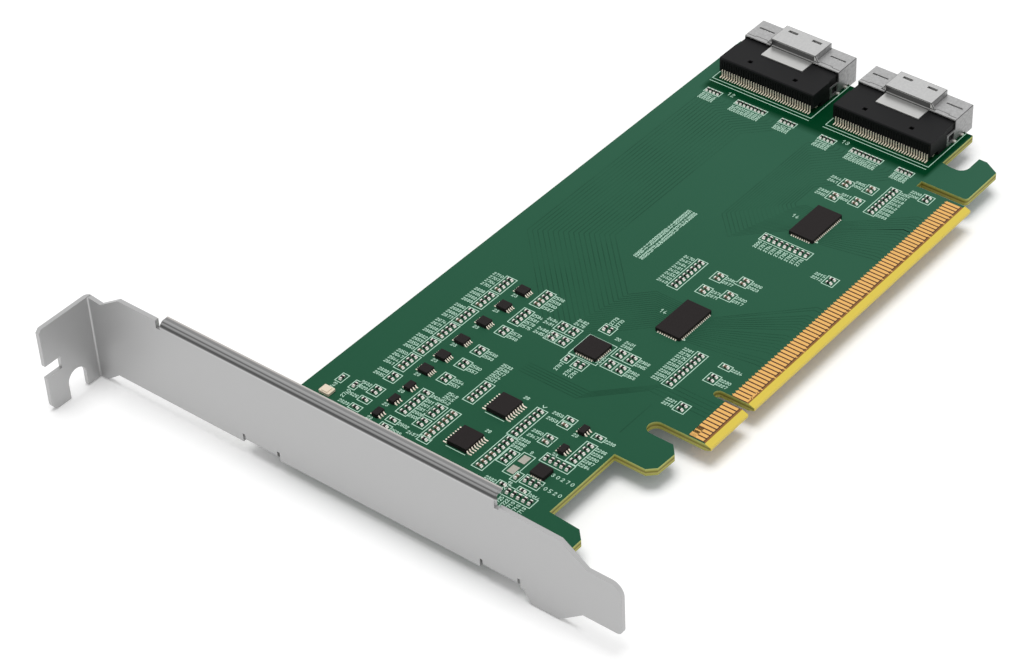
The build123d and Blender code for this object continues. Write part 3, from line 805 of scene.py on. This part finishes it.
def rows_of(boxes, long_axis, pitch):
    """Groups chips of one direction that stand side by side at the row pitch."""
    across = 1 - long_axis
    middle = [tuple((a + b) / 2 for a, b in zip(low, high)) for low, high in boxes]
    rows = []
    for spot in sorted(middle, key=lambda c: (round(c[long_axis], 1), c[across])):
        for row in rows:
            near = abs(spot[across] - row[-1][across]) < pitch * 1.1
            if near and abs(spot[long_axis] - row[-1][long_axis]) < 0.12:
                row.append(spot)
                break
        else:
            rows.append([spot])
    return rows


def side_of_labels(x, y, usual):
    """Where a row's place numbers stand: past its +Y, -Y or +X side, or nowhere."""
    for side, rows in label_sides.items():
        if any(hypot(x - row_x, y - row_y) < 1.1 for row_x, row_y in rows):
            return side
    return usual


# Thin matt ink lets some of the green through, so it is a pale mint and not white.
ink, tree = new_material("legend_ink")
finish_material(tree, {"Base Color": linear("#B9DDC9"), "Roughness": 0.6, "IOR": 1.5})
# Boxes and numbers of the chip rows, first those that stand along Y, then those along X.
number = 2203
number_step = 3
row_pitch = 1.2
label_length = 2.4
label_starts = {
    "+Y": (-0.42, 1.35 + label_length, "-Y"),
    "-Y": (-0.36, -1.4, "-Y"),
    "-X": (-1.35 - label_length, -0.36, "+X"),
    "+X": (1.5, -0.42, "+X"),
}
box_across, box_along = 0.72, 1.2
every_chip = [box for node in chips if node != "receptacle_resistors" for box in chips[node]]
for long_axis in (1, 0):
    along_y = long_axis == 1
    same_way = [b for b in every_chip if (b[1][1] - b[0][1] > b[1][0] - b[0][0]) == along_y]
    for row in rows_of(same_way, long_axis, row_pitch):
        x0, x1 = min(c[0] for c in row), max(c[0] for c in row)
        y0, y1 = min(c[1] for c in row), max(c[1] for c in row)
        side_x, side_y = (box_across, box_along) if along_y else (box_along, box_across)
        ink_box(x0 - side_x, y0 - side_y, x1 + side_x, y1 + side_y)
        side = side_of_labels((x0 + x1) / 2, (y0 + y1) / 2, "+Y" if along_y else "-X")
        for place_in_row, (x, y, _) in enumerate(row):
            number += number_step
            if side == "+X" and along_y:
                ink_number(str(number), x1 + 1.3 + 1.1 * place_in_row, y1 + 1.4, "-Y")
            elif side:
                start_x, start_y, reading = label_starts[side]
                ink_number(str(number), x + start_x, y + start_y, reading)
# The resistors beside the receptacles stand closer, and their numbers are smaller.
for row in rows_of(chips["receptacle_resistors"], 0, 0.9):
    x = row[0][0]
    y0, y1 = min(c[1] for c in row) - 0.5, max(c[1] for c in row) + 0.5
    ink_box(x - 0.8, y0, x + 0.8, y1)
    for spot in row:
        ink_number(str(number), x - 3.2, spot[1] - 0.33, "+X", 0.66)
        number += number_step
# Outlines and numbers of the receptacles, the clock and the other packages.
for letter, digit in (("a", "12"), ("b", "13")):
    low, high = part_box(f"receptacle_{letter}_tails")
    x = low.x / mm - 0.75
    y0, y1 = low.y / mm - 1.2, high.y / mm + 1.2
    edge = board_high.x / mm - 0.3
    ink_route([(edge, y0), (x, y0), (x, y1), (edge, y1)])
    ink_route([(x - 0.9, y0), (x - 0.9, y1)])
    ink_number(digit, 75.8, (y0 + y1) / 2 + 6.2, "-Y", 1.05)
x, y = centre_of("clock_chip")
ink_box(x - 3.2, y - 3.1, x + 3.2, y + 3.1)
ink_number("20", x + 4.7, y - 1.4, "-Y")
for node in ("logic_chip_a", "logic_chip_b"):
    x, y = centre_of(node)
    ink_route([(x - 2.85, y - 2.1), (x - 2.85, y + 2.1)])
    ink_number("28", x + 4.1, y - 1.0, "-Y")
ink_route([(-20.8, 30.4), (-21.3, 30.0), (-20.8, 29.6)])
for low, high in loose_boxes("level_shifters") + loose_boxes("switch_chips"):
    ink_number("23", (low[0] + high[0]) / 2 - 1.95, (low[1] + high[1]) / 2 + 1.2, "-Y", 0.75)
for node in ("redriver_a", "redriver_b"):
    x, y = centre_of(node)
    ink_number("14", x - 0.2, y + 5.4, "-Y", 0.95)
    ink_box(x - 4.2, y - 3.3, x - 4.0, y - 3.1)
pad_low, pad_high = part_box("bare_pads")
ink_box(pad_low.x / mm - 0.5, pad_low.y / mm - 0.5, pad_high.x / mm + 0.5, pad_high.y / mm + 0.5)
ink_number("9", -32.2, 24.4, "-Y")
# Two loose columns of digits stand by the regulator, and a double row of numbers in mid-board.
for column, row_x in (("30270", -34.6), ("70520", -38.1)):
    for n, digit in enumerate(column):
        ink_number(digit, row_x, 17.8 - 1.05 * n, "-Y", 0.8)
double_row_x, double_row_pitch, double_row_count = 22.9, 0.8, 22
for n in range(double_row_count):
    x = double_row_x + double_row_pitch * n
    ink_number(str(32 + number_step * n), x, 43.6, "-Y", 0.68)
    ink_number(str(96 - number_step * n), x, 42.3, "-Y", 0.68)
show("printed_legend", legend_points, legend_faces, ink)

# The bracket is one piece of cold-rolled steel sheet, blanked, folded and zinc plated.
# Its two tabs lie under the board, and its long rim stiffens the plate.
face_x = -57.2
rim_z = 16.9
rim_end = 86.4
streaks_from, streaks_to, streaks_stop = -1.4, 2.2, 0.2
bracket_edge = 0.11
sheared_index = 1
# Zinc is a soft even grey; where the rim bends, the room's reflection is painted on as long
# streaks.
zinc, tree = new_material("zinc_plated_steel_painted_reflection")
place = add_node(tree, "ShaderNodeTexCoord")
along = add_node(tree, "ShaderNodeSeparateXYZ", links={"Vector": place.outputs["Object"]})
round_rim = add_node(
    tree, "ShaderNodeMath", {"operation": "ADD"}, {0: along.outputs["X"], 1: along.outputs["Z"]}
)
across_rim = add_node(
    tree,
    "ShaderNodeMapRange",
    {
        "From Min": (face_x + rim_z + streaks_from) * mm,
        "From Max": (face_x + rim_z + streaks_to) * mm,
    },
    {"Value": round_rim.outputs[0]},
)
before_end = add_node(
    tree,
    "ShaderNodeMapRange",
    {"From Min": rim_end * mm, "From Max": (rim_end - streaks_stop) * mm},
    {"Value": along.outputs["Y"]},
)
on_rim = add_node(
    tree,
    "ShaderNodeMath",
    {"operation": "MULTIPLY"},
    {0: across_rim.outputs["Result"], 1: before_end.outputs["Result"]},
)
painted_rim_reflection = add_node(
    tree,
    "ShaderNodeValToRGB",
    links={"Fac": on_rim.outputs[0]},
    stops=[
        (0.0, "#B7B7B7"), (0.05, "#CACACA"), (0.1, "#A4A4A4"), (0.16, "#585858"),
        (0.29, "#4E4E4E"), (0.36, "#8C8C8C"), (0.44, "#9A9A9A"), (0.5, "#646464"),
        (0.54, "#686868"), (0.6, "#9C9C9C"), (0.7, "#A4A4A4"), (0.76, "#868686"),
        (0.88, "#8A8A8A"), (0.93, "#BEBAB6"), (1.0, "#CCC8C4"),
    ],
)
finish_material(
    tree, {"Metallic": 0.8, "Roughness": 0.45}, {"Base Color": painted_rim_reflection.outputs["Color"]}
)
# The rounded edge is painted darker than the face, as painted shade along the break, and so
# outlines the sheet.
sheared, tree = new_material("zinc_edge_painted_shade")
finish_material(tree, {"Base Color": linear("#707070"), "Metallic": 0.8, "Roughness": 0.4})
bracket = dress("bracket", "bracket_steel", zinc, sheared)
soften(bracket, bracket_edge, edge_material=sheared_index)

# The bracket screws are nickel-plated pan heads with a cross recess.
# They pass through the board into threaded tabs, so only the heads stand up.
head_edge = 0.05
# Nickel over a turned head is bright, with small sharp highlights.
nickel, tree = new_material("nickel_plated_steel")
finish_material(tree, {"Base Color": linear("#C9C8C4"), "Metallic": 1.0, "Roughness": 0.28})
for place_name in ("upper", "lower"):
    soften(dress(f"bracket_screw_{place_name}", "screw_steel", nickel), head_edge)

# The studio is a pale floor under an even white sky, with one large soft lamp.
# The sky is full white only where it is seen, directly or in a reflection.
floor_half = 3.0
floor_gap = 0.05
floor_glow = 0.07
sky_level = 0.52
lamp_angle = 34
lamp_level = 0.53
lamp_side = Vector((0.01, 0.05, 1.0)).normalized()
# Matt white paint with a faint glow keeps the floor white beside the card's soft shadow.
floor_paint, tree = new_material("studio_floor")
finish_material(
    tree,
    {
        "Base Color": linear("#FFFFFF"),
        "Roughness": 0.9,
        "Specular IOR Level": 0.0,
        "Emission Color": linear("#FFFFFF"),
        "Emission Strength": floor_glow,
    },
)
floor_z = size["cad"][0][2] - floor_gap * mm
low, high = -floor_half, floor_half
mesh = bpy.data.meshes.new("studio_floor")
corners = [(low, low, floor_z), (high, low, floor_z), (high, high, floor_z), (low, high, floor_z)]
mesh.from_pydata(corners, [], [(0, 1, 2, 3)])
mesh.materials.append(floor_paint)
floor = bpy.data.objects.new("studio_floor", mesh)
bpy.context.scene.collection.objects.link(floor)
floor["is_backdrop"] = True
world = bpy.data.worlds.new("studio_sky")
bpy.context.scene.world = world
world.use_nodes = True
tree = world.node_tree
tree.nodes.clear()
rays = add_node(tree, "ShaderNodeLightPath")
seen = rays.outputs["Is Camera Ray"]
for ray in ("Is Glossy Ray", "Is Transmission Ray"):
    either = add_node(
        tree, "ShaderNodeMath", {"operation": "MAXIMUM"}, {0: seen, 1: rays.outputs[ray]}
    )
    seen = either.outputs[0]
level = add_node(
    tree, "ShaderNodeMapRange", {"To Min": sky_level, "To Max": 1.0}, {"Value": seen}
)
sky = add_node(
    tree,
    "ShaderNodeBackground",
    {"Color": linear("#FFFFFF")},
    {"Strength": level.outputs["Result"]},
)
add_node(tree, "ShaderNodeOutputWorld", links={"Surface": sky.outputs["Background"]})
lamp = bpy.data.lights.new("soft_lamp", "SUN")
lamp.angle = radians(lamp_angle)
lamp.energy = lamp_level * pi
lamp_holder = bpy.data.objects.new("soft_lamp", lamp)
lamp_holder.rotation_euler = lamp_side.to_track_quat("Z", "Y").to_euler()
lamp_holder.visible_glossy = False
bpy.context.scene.collection.objects.link(lamp_holder)

# The camera stands where the photograph was taken from, with a long lens.
# The photograph is cut from a larger frame, so its optical centre lies off to the right.
photo_width = 1032
photo_height = 661
focal_pixels = 2957.8
centre_x, centre_y = 714.1, 416.1
eye = Vector((-0.32366, -0.22597, 0.34428))
right = Vector((0.58719, -0.80945, 0.00162))
forward = Vector((0.61002, 0.44120, -0.65819))
up = right.cross(forward)
camera_data = bpy.data.cameras.new("photo_camera")
camera_data.sensor_width = 36
camera_data.lens = camera_data.sensor_width * focal_pixels / photo_width
camera_data.shift_x = (photo_width / 2 - centre_x) / photo_width
camera_data.shift_y = (centre_y - photo_height / 2) / photo_width
camera_data.clip_start = 0.01
camera = bpy.data.objects.new("photo_camera", camera_data)
camera.matrix_world = Matrix.Translation(eye) @ Matrix((right, up, -forward)).transposed().to_4x4()
bpy.context.scene.collection.objects.link(camera)
bpy.context.scene.camera = camera
bpy.context.scene.view_settings.view_transform = "Standard"

size["visual"] = [list(corner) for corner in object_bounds()]
